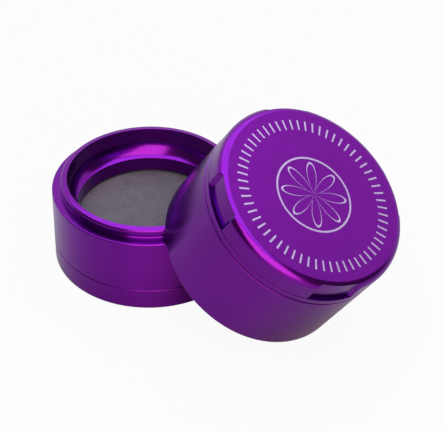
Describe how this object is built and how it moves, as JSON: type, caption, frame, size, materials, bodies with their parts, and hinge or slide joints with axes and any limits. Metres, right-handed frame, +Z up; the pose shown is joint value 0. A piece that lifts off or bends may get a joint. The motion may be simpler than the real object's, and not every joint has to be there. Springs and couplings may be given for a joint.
{
  "type": "hand herb grinder",
  "caption": "Round anodised aluminium hand grinder opened in two halves: a sieve chamber on its tray, and a toothed grinding chamber with a notched lid leaning on it.",
  "frame": {"origin": "centre of the tray's flat base, on the surface that the grinder stands on", "axes": "+Z up along the sieve half's axis, +X horizontal towards the half that leans, so its axis lies in the XZ plane"},
  "size_m": [0.1185, 0.063, 0.0648],
  "materials": {
    "purple_anodised": "satin anodised, turned",
    "steel_mesh": "fine woven wire",
    "steel_hoop": "stamped, plain",
    "slip_plastic": "low-friction plastic, matt",
    "seal_rubber": "soft silicone, matt",
    "magnet_nickel": "nickel plated"
  },
  "bodies": {
    "tray": {"tray": "purple_anodised"},
    "tray_ring": {"tray_slip_ring": "slip_plastic"},
    "sieve": {"sieve_chamber": "purple_anodised"},
    "screen": {"screen_gasket": "seal_rubber", "screen_top_hoop": "steel_hoop", "screen_mesh": "steel_mesh", "screen_bottom_hoop": "steel_hoop"},
    "retainer": {"screen_retaining_ring": "purple_anodised"},
    "chamber": {"upper_chamber": "purple_anodised", "chamber_slip_ring": "slip_plastic"},
    "plate": {"grind_plate": "purple_anodised", "plate_teeth": "purple_anodised", "plate_magnet": "magnet_nickel", "plate_gasket": "seal_rubber"},
    "lid_ring": {"lid_slip_ring": "slip_plastic"},
    "lid": {"lid": "purple_anodised", "lid_teeth": "purple_anodised", "lid_magnet": "magnet_nickel"}
  },
  "joints": [
    {"name": "sieve_rise", "type": "slide", "parent": "tray", "child": "tray_ring", "axis": [0, 0, 1], "range_m": [0, 0.00285]},
    {"name": "sieve_turn", "type": "hinge", "parent": "tray_ring", "child": "sieve", "pos_m": [0, 0, 0], "axis": [0, 0, 1], "range_deg": [0, 1080]},
    {"name": "screen_drop", "type": "slide", "parent": "sieve", "child": "screen", "axis": [0, 0, -1], "range_m": [0, 0.0019]},
    {"name": "retainer_turn", "type": "hinge", "parent": "screen", "child": "retainer", "pos_m": [0, 0, 0], "axis": [0, 0, -1], "range_deg": [0, 720]},
    {"name": "upper_lift", "type": "slide", "parent": "tray_ring", "child": "chamber", "axis": [0, 0, 1], "range_m": [0, 0.04]},
    {"name": "plate_lift", "type": "slide", "parent": "chamber", "child": "plate", "axis": [0.5461, 0, 0.8377], "range_m": [0, 0.02]},
    {"name": "lid_turn", "type": "hinge", "parent": "plate", "child": "lid_ring", "pos_m": [0.05728, 0, 0.04193], "axis": [0.5461, 0, 0.8377], "continuous": true},
    {"name": "lid_lift", "type": "slide", "parent": "lid_ring", "child": "lid", "axis": [0.5461, 0, 0.8377], "range_m": [0, 0.03]}
  ],
  "couplings": [
    {"joint": "sieve_rise", "follows": "sieve_turn", "m_per_rad": 0.0001512},
    {"joint": "screen_drop", "follows": "retainer_turn", "m_per_rad": 0.0001512}
  ]
}
